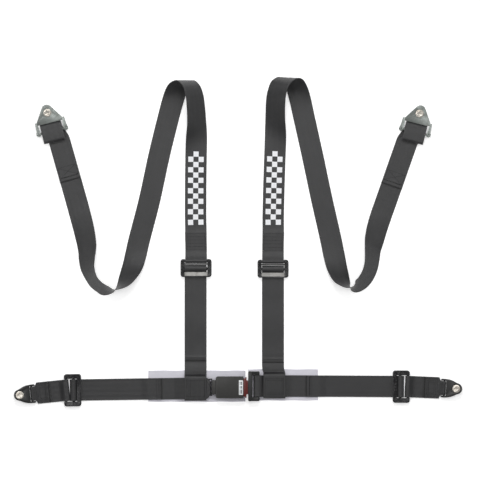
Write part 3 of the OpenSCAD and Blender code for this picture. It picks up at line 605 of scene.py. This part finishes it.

# Upper shoulder straps from the adjuster to the bracket: outboard, up the photo, height, then the
# direction across the strap. These stations are listed and are the ones that part.scad has.
FRONT_AND_BACK = {
    "left": [
        [98.7, 60, 0.8, -1, 0, 0], [98.4, 140, 0.8, -1, 0, 0], [97.6, 200, 1.8, -1, 0, 0],
        [96.6, 240, 6, -0.98, 0, -0.18], [96, 275, 19, -0.86, 0, -0.5], [97.4, 310, 36, -0.8, 0, -0.6],
        [101, 340, 50, -0.78, 0.04, -0.63], [108, 361, 51, -0.78, 0.06, -0.63],
        [121, 374, 37, -0.8, 0.04, -0.6], [133, 370, 20, -0.86, -0.02, -0.5],
        [142, 355, 9, -0.95, -0.1, -0.24], [151, 331, 2.4, -0.97, -0.23, -0.03],
        [162, 290, 0.8, -0.97, -0.24, 0], [184, 200, 0.8, -0.97, -0.24, 0],
        [206, 98, 0.8, -0.97, -0.23, 0], [230, 5, 0.8, -0.97, -0.24, 0],
        [238, -30, 3, -0.97, -0.24, 0.08], [246.5, -60, 9.5, -0.9, -0.24, 0.34],
        [263, -92, 20.5, -0.62, -0.2, 0.76], [283, -110.5, 25.5, -0.1, 0, 0.99],
        [298, -112.2, 25.4, -0.05, 0.36, 0.93], [312, -110.5, 24.8, -0.1, 0.54, 0.84],
        [322, -104.5, 24, -0.16, 0.54, 0.83], [337, -89.5, 22.5, -0.34, 0.48, 0.81],
        [348.5, -62.8, 20.5, -0.64, 0.2, 0.74], [351, -40, 17.5, -0.77, 0.06, 0.63],
        [350.5, -21, 14.4, -0.85, 0.06, 0.52], [352, -3, 10.4, -0.91, 0.14, 0.38],
        [359.5, 33, 5.2, -0.95, 0.22, 0.18], [374, 88, 0.9, -0.963, 0.26, 0],
        [391.5, 150, 0.8, -0.963, 0.27, 0]],
    "right": [
        [82, 60, 0.8, -1, 0, 0], [84, 140, 0.8, -1, 0, 0], [86.4, 210, 1.2, -1, 0.02, 0],
        [87.4, 250, 5, -0.98, 0.02, -0.16], [86.8, 285, 17, -0.9, 0.02, -0.42],
        [87, 318, 34, -0.86, 0.03, -0.5], [90, 344, 50, -0.83, 0.1, -0.55],
        [98, 366, 56, -0.83, 0.14, -0.55], [114, 379.5, 44, -0.84, 0.1, -0.54],
        [127, 377, 24, -0.88, 0, -0.46], [136, 360, 10, -0.95, -0.1, -0.26],
        [145, 331, 2.4, -0.97, -0.22, -0.03], [154, 290, 0.8, -0.976, -0.22, 0],
        [175, 195, 0.8, -0.976, -0.22, 0], [194, 105, 0.8, -0.976, -0.22, 0],
        [215, 12, 0.8, -0.976, -0.22, 0], [224, -32, 3.4, -0.97, -0.22, 0.1],
        [230.5, -60, 9, -0.91, -0.24, 0.33], [240, -86, 17.5, -0.74, -0.2, 0.64],
        [251, -100, 24, -0.36, -0.16, 0.92], [263, -106, 25.6, -0.12, 0.1, 0.98],
        [275, -103, 23.4, -0.24, 0.5, 0.83], [289, -94, 21, -0.44, 0.46, 0.77],
        [300.5, -79, 19.8, -0.56, 0.37, 0.74], [308.5, -59, 19, -0.65, 0.25, 0.72],
        [312, -37, 18, -0.7, 0.2, 0.68], [313.5, -15, 16, -0.78, 0.16, 0.6],
        [317, 5, 11, -0.9, 0.2, 0.4], [324, 33, 5.6, -0.93, 0.28, 0.2],
        [334, 64, 2, -0.94, 0.32, 0.04], [345, 95, 0.8, -0.944, 0.33, 0],
        [362, 143.5, 0.8, -0.944, 0.33, 0]]}
# The last run to the bracket: a point on it, its lean in degrees, and how far its ply goes back
RUN_AT = {"left": (411.0, 219.0), "right": (388.5, 219.0)}
RUN_LEAN = {"left": 15.7, "right": 19.3}
RUN_TAIL = {"left": 78.0, "right": 94.0}


def outboard(side, rows):
    """Rows given outboard to the world, with the across direction kept so that normals face up."""
    f = FLIP[side]
    return [(f * x, y, z, a, f * b, f * c) for x, y, z, a, b, c in rows]


def lock_wrap(lip):
    """Under the lip, round the lock bar with room for it to slide, and out again as the tail."""
    half_long, half_high = 7.3, 5.15
    loop = arc((LOCK_X - 1.0, BAR_Z), 1.0, 250, -20, 14)
    wrap = [(LOCK_X - 1.0 + (x - LOCK_X + 1.0) * half_long, BAR_Z + (z - BAR_Z) * half_high) for x, z in loop]
    return [(lip + 14, TABLE), (20.0, TABLE)] + wrap + [(24.6, 3.2), (lip + 14, TABLE + PLY)]


def lap_line(side):
    """The lap adjuster's fixed bar, the outboard direction there, and the bar's distance out."""
    bar = joint_point(f"lap_adjuster_tilt_{side}")
    out = unit(joint_axis(f"lap_lock_slide_{side}"))
    return bar, out, abs(bar[0] / out[0])


def lap_strap(side):
    bar, out, bar_u = lap_line(side)
    start, tail, off, low = LAP_START[side], LAP_TAIL[side], OFF_PAD[side], LOW_PLY
    half, r, z = LOOP_HALF[side], LOOP_R[side], LOOP_Z[side]
    lip = 30.6
    path = ([(start + 52, low), (start + 10, low)] + arc((start - half, z), r, 270, 90, 10)
            + [(start + half + 0.8, z + r), (start + 13, low + PLY + 0.4), (start + 18, low + PLY),
               (start + 54, low + PLY), (start + 80, ON_PAD), (off, ON_PAD), (off + 12, TABLE)]
            + [(bar_u - d, h) for d, h in lock_wrap(lip)]
            + [(off + 12, TABLE + PLY), (off, ON_PAD + PLY), (tail + 13, ON_PAD + PLY),
               (tail + 11, ON_PAD + PLY + 0.9), (tail, ON_PAD + PLY + 0.9)])
    across = np.cross([0, 0, 1], out) * (1.0 if side == "right" else -1.0)
    rows = []
    for u, h in path:
        p = bar[:2] + out[:2] * (u - bar_u)
        rows.append((p[0], p[1], h, *(across * FLIP[side])))
    rows = corner_cut(rows)
    strap = Strap(rows)
    if side == "left":
        along = bar_u + (strap.p[:, :2] - bar[:2]) @ out[:2]
        squeeze = np.array([1 - smoothstep(63.5, 73.0, u) for u in along])
        strap.width -= 0.35 * squeeze
        strap.gather += 0.7 * squeeze
    piece = strap.mesh(f"lap_webbing_{side}", None, f"lap_strap_{side}")
    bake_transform(piece)
    total = strap.s[-1]
    hem = (total - 4.5, total - 7.5) if side == "left" else (total - 7.4, total - 8.2, total - 9.0)
    stitches(f"lap_tail_stitching_{side}", strap, HALF[side], across_rows(hem), side=-1.0)
    sealed_end_and_shade(f"lap_tail_end_{side}", strap, HALF[side], -1.0)


def anchor_strap(side):
    bar, out, _ = lap_line(side)
    end = joint_point(f"lap_anchor_swing_{side}")
    run = end[:2] - bar[:2]
    n = np.linalg.norm(run)
    run = run / n
    low = 1.2
    slant = STRAP_HALF * abs(run[0] * out[1] - run[1] * out[0]) + 0.1
    path = ([(34, low + PLY), (13, low + PLY)] + arc((slant, bar[2]), FIXED_R, 42, 90, 4)
            + arc((-slant - 1.0, bar[2]), FIXED_R, 90, 270, 12)
            + [(slant, bar[2] - FIXED_R), (slant + 9, low), (n - 12, low)]
            + arc((n, end[2]), ANCHOR_R, 280, 476, 12)
            + [(n - 14, low + PLY), (48, low + PLY), (46, low + PLY + 0.9), (38, low + PLY + 0.9)])
    across = np.array([-run[1], run[0], 0.0]) * (1.0 if side == "right" else -1.0)
    rows = corner_cut([(*(bar[:2] + run * u), h, *(-across * FLIP[side])) for u, h in path])
    strap = Strap(rows)
    along = (strap.p[:, :2] - bar[:2]) @ run
    squeeze = np.array([smoothstep(n - 12.5, n - 8.2, u) for u in along])
    strap.width -= 0.34 * squeeze
    strap.gather += 0.3 * squeeze
    strap.mesh(f"anchor_webbing_{side}", HALF[side], f"anchor_strap_{side}")
    total = strap.s[-1]
    facing = -1.0 if strap.n[-1][2] < 0 else 1.0
    boxes = []
    for inset in (0, 4, 8):
        boxes += box_rows(total - 2 - inset, total - 31 + inset, inset - 21, 21 - inset, False)
    stitches(f"anchor_stitching_{side}", strap, HALF[side], boxes, side=facing)
    sealed_end_and_shade(f"anchor_strap_end_{side}", strap, HALF[side], facing)


def lower_strap(side):
    bar = joint_point(f"shoulder_adjuster_tilt_{side}")
    lap_bar, out, _ = lap_line(side)
    lap_y = lap_bar[1] + (bar[0] - lap_bar[0]) * out[1] / out[0]
    lap = bar[1] - lap_y
    low = LOW_PLY - PLY - 0.6
    high = PATCH_Z[side]
    fold_z = 11.3
    droop = 0.04 if side == "right" else -0.04
    lip = 32.6
    tail = bar[1] - SHOULDER_TAIL_Y[side]
    shift = {"left": 1.2, "right": 3.0}[side]
    fold = arc((lap + 25.4, (low + fold_z) / 2), (fold_z - low) / 2, -60, 60, 8)
    path = ([(lap - 24, low, shift), (lap + 20, low, shift)]
            + [(x, z, shift) for x, z in fold]
            + [(lap + 20, fold_z, shift), (lap - 24, high, shift), (lap - 28, high - 0.8, shift),
               (lap - 31.5, ON_PAD + 0.6, shift), (lap - 33.5, ON_PAD - 0.2, shift * 0.7),
               (lap - 37, ON_PAD + 0.3, shift * 0.3), (lap - 46, ON_PAD - 0.3, 0), (lap - 60, TABLE + 0.2, 0)]
            + [(d, h, 0) for d, h in lock_wrap(lip)]
            + [(tail - 12, TABLE + PLY, 0), (tail - 10, TABLE + PLY + 0.9, 0), (tail, TABLE + PLY + 0.9, 0)])
    away = 0.0 if side == "right" else -1.2
    share = 1 if side == "right" else -0.2
    rows = corner_cut([(bar[0] + away + c * share, bar[1] - x, h, -1.0, 0.0, droop if h > 10 else 0.0)
                       for x, h, c in path])
    free = np.array([smoothstep(60, 90, bar[1] - y) * (1 - smoothstep(lap - 75, lap - 60, bar[1] - y))
                     for y in rows[:, 1]])
    rows[:, 2] += 0.55 * (1 + np.sin(rows[:, 1] * 0.062 + 0.6)) * free
    strap = Strap(np.column_stack([rows, np.zeros(len(rows))]))
    strap.width += 0.02
    piece = strap.mesh(f"lower_webbing_{side}", None, f"shoulder_lower_strap_{side}")
    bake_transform(piece)
    total = strap.s[-1]
    hem = (total - 4.5, total - 7.5)
    stitches(f"lower_tail_stitching_{side}", strap, HALF[side], across_rows(hem), side=-1.0)
    sealed_end_and_shade(f"lower_tail_end_{side}", strap, HALF[side], -1.0)
    top = 44 + (high - low) / 2 * 2.1 + 6
    patch = [(top + 4, -21, top + 46, -21), (top + 4, 21, top + 46, 21), (top + 6, -21, top + 6, 21),
             (top + 43, -21, top + 43, 21)]
    if side == "right":
        patch += [(top + 4, -17.5, top + 46, -17.5), (top + 10, -21, top + 10, 21),
                  (top + 39, -21, top + 39, 21)]
    else:
        patch += [(top + 4, 11, top + 46, 11)]
    patch += [(top + 56, -22, top + 56, 22), (top + 59, -22, top + 59, 22)]
    stitches(f"patch_stitching_{side}", strap, HALF[side], patch)


def upper_strap(side):
    f = FLIP[side]
    bar = joint_point(f"shoulder_adjuster_tilt_{side}")
    u, y, end_y = abs(bar[0]), bar[1], 24.0
    ring = arc((y, bar[2]), FIXED_R, 263, 63, 14)
    sewn = ([(u + 1, end_y, TABLE), (u, y + 30, TABLE), (u, y + 10, TABLE + 0.3)]
            + [(u, a, b) for a, b in ring]
            + [(u, y + 12, 5.0), (u, y + 22, TABLE + PLY + 0.2), (u + 0.4, end_y - 2, TABLE + PLY),
               (u + 0.5, end_y + 3, TABLE + 0.6), (u + 0.6, end_y + 12, TABLE)])
    stations = FRONT_AND_BACK[side]
    first = corner_cut([(*p, -1, 0, 0) for p in sewn] + [stations[0]])
    bolt = joint_point(f"shoulder_bolt_turn_{side}")
    centre = joint_point(f"shoulder_bracket_swing_{side}")
    c = np.array([abs(centre[0]), centre[1]])
    a = unit(np.array([abs(bolt[0]), bolt[1]]) - c)
    w = np.array([-a[1], a[0]])
    lean = math.radians(RUN_LEAN[side])
    run_w = (-math.cos(lean), math.sin(lean), 0.0)

    def on_run(back, z):
        at = RUN_AT[side]
        return (at[0] - back * math.sin(lean), at[1] - back * math.cos(lean), z, *run_w)

    # Distance towards the bolt, height and sideways offset: over the loop bar, back, and a hairpin under it
    hairpin_z, hairpin_r = 4.1, 1.2
    turn = ([(-14, 1.2, 8.5), (-5, 1.5, 4.5), (4, 1.9, 1), (12, 2.2, 0)]
            + [(p, z, 0) for p, z in arc((13.2, 9), 6.6, -70, 80, 8)]
            + [(10, 16.0, 0), (5, 15.9, 0), (0, 16.6, 0), (-8, 17.0, 0)]
            + [(p, z, 0) for p, z in arc((-19.5, 11), 5.7, 90, 270, 12)]
            + [(p, z, hairpin_z + hairpin_r - z) for p, z in arc((-15.5, hairpin_z), hairpin_r, 90, -90, 8)]
            + [(-17.5, 2.7, 7)])
    loop = [on_run(0, TABLE), on_run(-18, TABLE + 0.1)]
    for along, z, offset in turn:
        q = c + along * a + offset * w
        loop.append((q[0], q[1], z, w[0], w[1], 0))
    tail = RUN_TAIL[side]
    upper, end = TABLE + PLY + 0.1, TABLE + PLY + 1.1
    loop += [on_run(-18, upper), on_run(8, upper), on_run(tail - 12, upper), on_run(tail - 10, end),
             on_run(tail, end)]
    last = corner_cut([stations[-1]] + loop)
    rows = np.vstack([first[:-1], through(stations), last[1:]])
    square = np.concatenate([np.ones(len(rows) - len(last) + 1), np.zeros(len(last) - 1)])
    strap = Strap(np.column_stack([outboard(side, rows), square]))
    strap.mesh(f"upper_webbing_{side}", HALF[side], f"shoulder_upper_strap_{side}")
    total = strap.s[-1]
    side_up = -1.0 if strap.n[-1][2] < 0 else 1.0
    rows = box_rows(total - 10, total - 34, -21, 21) + across_rows((total - 8.6, total - 9.4), 22)
    stitches(f"bracket_stitching_{side}", strap, HALF[side], rows, side=side_up)
    sealed_end_and_shade(f"bracket_ply_end_{side}", strap, HALF[side], side_up)
    s0 = strap.nearest(f * u, end_y - 3, 60, 200)
    s1 = strap.nearest(f * u, y + 26, 60, 200)
    stitches(f"adjuster_stitching_{side}", strap, HALF[side],
             box_rows(s0, s1, -21, 21, False) + across_rows(np.linspace(s0, s1, 6)[1:-1], 21))
    woven_mark(side, strap)


def woven_mark(side, strap):
    """A plain white chequer woven into the front run."""
    f = FLIP[side]
    low, high = {"left": (41.0, 210.0), "right": (40.0, 210.0)}[side]
    s0 = strap.nearest(f * 96, low, 60, 420)
    s1 = strap.nearest(f * 96, high, 60, 420)
    columns, cells = 3, 14
    points, faces, uvs = [], [], []
    size, step = 12.0, (s1 - s0) / cells
    for row in range(cells):
        for column in range(columns):
            if (row + column) % 2:
                continue
            w0 = (column - columns / 2) * size
            base = len(points)
            for i in range(5):
                s = s0 + step * (row + i / 4)
                for lift in (0.05, -0.25):
                    for w in (w0, w0 + size):
                        points.append(strap.at(s, w, 1.0, lift)[0])
                        uvs.append((w + STRAP_HALF, s))
            for i in range(4):
                a, b = base + 4 * i, base + 4 * i + 4
                faces += [(a, a + 1, b + 1, b), (a + 3, a + 2, b + 2, b + 3), (a + 1, a + 3, b + 3, b + 1),
                          (a + 2, a, b, b + 2)]
            faces += [(base, base + 2, base + 3, base + 1), (base + 16, base + 17, base + 19, base + 18)]
    new_piece(f"woven_mark_{side}", points, faces, MARK, HALF[side], uvs)


for which in SIDES:
    lap_strap(which)
    anchor_strap(which)
    lower_strap(which)
    upper_strap(which)


# ---- backing pads -------------------------------------------------------------------------------


def backing_pad(side):
    """Thin quilted pad: ribs along it, a bound edge, and a soft outline."""
    low, high = (np.array(c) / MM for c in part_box(f"backing_pad_{side}"))
    size = high - low
    nx, ny = int(size[0] / 3.0), int(size[1] / 0.8)
    points, faces = [], []
    for top in (1, 0):
        for i in range(nx + 1):
            for j in range(ny + 1):
                fx, fy = i / nx, j / ny
                x, y = low[0] + size[0] * fx, low[1] + size[1] * fy
                edge = min(x - low[0], high[0] - x, y - low[1], high[1] - y)
                hem = smoothstep(4.5, 5.5, edge)
                rib = 0.22 * math.cos(2 * math.pi * y / 3.2) * hem
                rim = math.sqrt(max(0.0, 1 - (1 - min(1.0, edge / 1.3)) ** 2))
                seam = -0.3 * math.exp(-((edge - 4.6) / 0.5) ** 2)
                wave = 0.1 * math.sin(x * 0.09 + 1.3) * math.sin(y * 0.13)
                z = 0.15 + (1.55 + rib + seam + wave) * rim if top else 0.1
                if edge < 1e-6:
                    z = 0.5 if top else 0.45
                dy = 0.35 * math.sin(x * 0.11 + (2 if fy > 0.5 else 0)) * (2 * fy - 1) ** 4
                points.append((x, y + dy, z))
    count = (nx + 1) * (ny + 1)

    def index(i, j):
        return i * (ny + 1) + j

    for i in range(nx):
        for j in range(ny):
            q = (index(i, j), index(i + 1, j), index(i + 1, j + 1), index(i, j + 1))
            faces.append(q)
            faces.append(tuple(k + count for k in reversed(q)))
    rim_path = ([(i, 0) for i in range(nx)] + [(nx, j) for j in range(ny)]
                + [(i, ny) for i in range(nx, 0, -1)] + [(0, j) for j in range(ny, 0, -1)])
    for (i, j), (k, m) in zip(rim_path, rim_path[1:] + rim_path[:1]):
        a, b = index(i, j), index(k, m)
        faces.append((b, a, a + count, b + count))
    piece = new_piece(f"backing_pad_look_{side}", points, faces, PAD, HALF[side])
    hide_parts(f"backing_pad_{side}")


for which in SIDES:
    backing_pad(which)


# ---- hard parts ---------------------------------------------------------------------------------


def paint_lip_highlight(piece, side):
    """Light metal on the upward faces of a shoulder adjuster's sloping lip: a painted highlight where the
    enamel would reflect the key light.
    """
    lip_far, lip_near, lip_half = 34.0, 26.0, 29.0
    bar = joint_point(f"shoulder_adjuster_tilt_{side}")
    piece.data.materials.append(LIP_HIGHLIGHT)
    for face in piece.data.polygons:
        x, y, _ = (c / MM for c in face.center)
        on_lip = bar[1] - lip_far < y < bar[1] - lip_near and abs(x - bar[0]) < lip_half
        # Only faces turned up towards the light get the painted highlight
        if on_lip and face.normal.z > 0.6:
            face.material_index = len(piece.data.materials) - 1


for which in SIDES:
    for kind in ("shoulder", "lap"):
        shown = softened(f"{kind}_adjuster_frame_{which}", 0.9, ENAMEL)
        if kind == "shoulder":
            # The sloping lip gets a painted highlight
            paint_lip_highlight(shown, which)
        softened(f"{kind}_lock_bar_{which}", 0.5, ENAMEL)
        softened(f"{kind}_bolt_{which}", 0.6, BOLT)
    softened(f"shoulder_bracket_{which}", 0.7, ZINC)
    softened(f"shoulder_bracket_bar_{which}", 0.4, ZINC)
    softened(f"anchor_plate_{which}", 0.5, ENAMEL)
    softened(f"anchor_boot_{which}", 0.7, RUBBER)

softened("buckle_upper_cover", 1.1, BLACK, segments=4)
softened("buckle_lower_cover", 1.1, BLACK, segments=4)
softened("buckle_label", 0.15, LABEL)


def label_print():
    """Plain dark bars printed on the label, of no particular meaning."""
    low, high = (np.array(c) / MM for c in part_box("buckle_label"))
    points, faces = [], []
    span = high[1] - low[1] - 5.0
    for k, length in enumerate((0.34, 0.2, 0.28)):
        y0 = low[1] + 2.5 + span * (0.0, 0.42, 0.70)[k]
        y1 = y0 + span * length
        for x0, x1 in ((low[0] + 2.0, low[0] + 3.6), (low[0] + 5.2, low[0] + 7.4)):
            base = len(points)
            for z in (high[2] - 0.05, high[2] + 0.03):
                for x, y in ((x0, y0), (x1, y0), (x1, y1), (x0, y1)):
                    points.append((x + draw.uniform(-0.03, 0.03), y, z))
            faces += [tuple(base + i for i in (4, 5, 6, 7)), tuple(base + i for i in (3, 2, 1, 0))]
            for i in range(4):
                j = (i + 1) % 4
                faces.append((base + i, base + j, base + j + 4, base + i + 4))
    new_piece("label_print", points, faces, INK, HALF["left"])


label_print()
softened("release_button", 0.7, RED)
softened("tongue_grip", 1.1, GRIP, segments=4)
softened("tongue_plate", 0.4, STEEL)
softened("ejector", 0.5, NATURAL)
softened("buckle_frame", 0.4, ENAMEL)
for plain in ("latch_pin", "latch_plate", "latch_spring", "ejector_spring"):
    frame["nodes"][plain].data.materials.clear()
    frame["nodes"][plain].data.materials.append(STEEL)


# ---- stage --------------------------------------------------------------------------------------

# The floor lies just under the lowest piece
FLOOR_HALF = 8
FLOOR_Z = -0.0006
floor_corners = [(x * FLOOR_HALF, y * FLOOR_HALF, FLOOR_Z) for x, y in ((-1, -1), (1, -1), (1, 1), (-1, 1))]
floor_mesh = bpy.data.meshes.new("floor")
floor_mesh.from_pydata(floor_corners, [], [(0, 1, 2, 3)])
floor = bpy.data.objects.new("floor", floor_mesh)
bpy.context.scene.collection.objects.link(floor)
floor_mesh.materials.append(floor_material())

world = bpy.data.worlds.new("studio")
bpy.context.scene.world = world
world.use_nodes = True
world.node_tree.nodes["Background"].inputs["Color"].default_value = (1, 1, 1, 1)
world.node_tree.nodes["Background"].inputs["Strength"].default_value = 0.34


def area_light(name, place, size, depth, power):
    light = bpy.data.lights.new(name, "AREA")
    light.shape = "RECTANGLE"
    light.size = size
    light.size_y = depth
    light.energy = power
    lamp = bpy.data.objects.new(name, light)
    lamp.location = place
    lamp.rotation_euler = (Vector((0, 0, 0)) - Vector(place)).to_track_quat("-Z", "Y").to_euler()
    lamp.visible_camera = False
    bpy.context.scene.collection.objects.link(lamp)


area_light("overhead", (0.0, 0.12, 2.6), 1.7, 0.75, 15.0)
area_light("key", (0.0, 1.5, 2.2), 1.2, 0.5, 26.0)
area_light("left_fill", (-2.0, 0.5, 1.5), 1.2, 1.2, 8.0)
area_light("right_fill", (2.0, 0.5, 1.5), 1.2, 1.2, 8.0)

# Straight above, framed as the photo is
camera_data = bpy.data.cameras.new("camera")
camera_data.lens = 200.0
camera_data.sensor_width = 36.0
camera_data.clip_end = 50.0
camera = bpy.data.objects.new("camera", camera_data)
camera.location = (0.0047, -0.0186, 6.4706)
bpy.context.scene.collection.objects.link(camera)
bpy.context.scene.camera = camera
bpy.context.scene.view_settings.view_transform = "Standard"
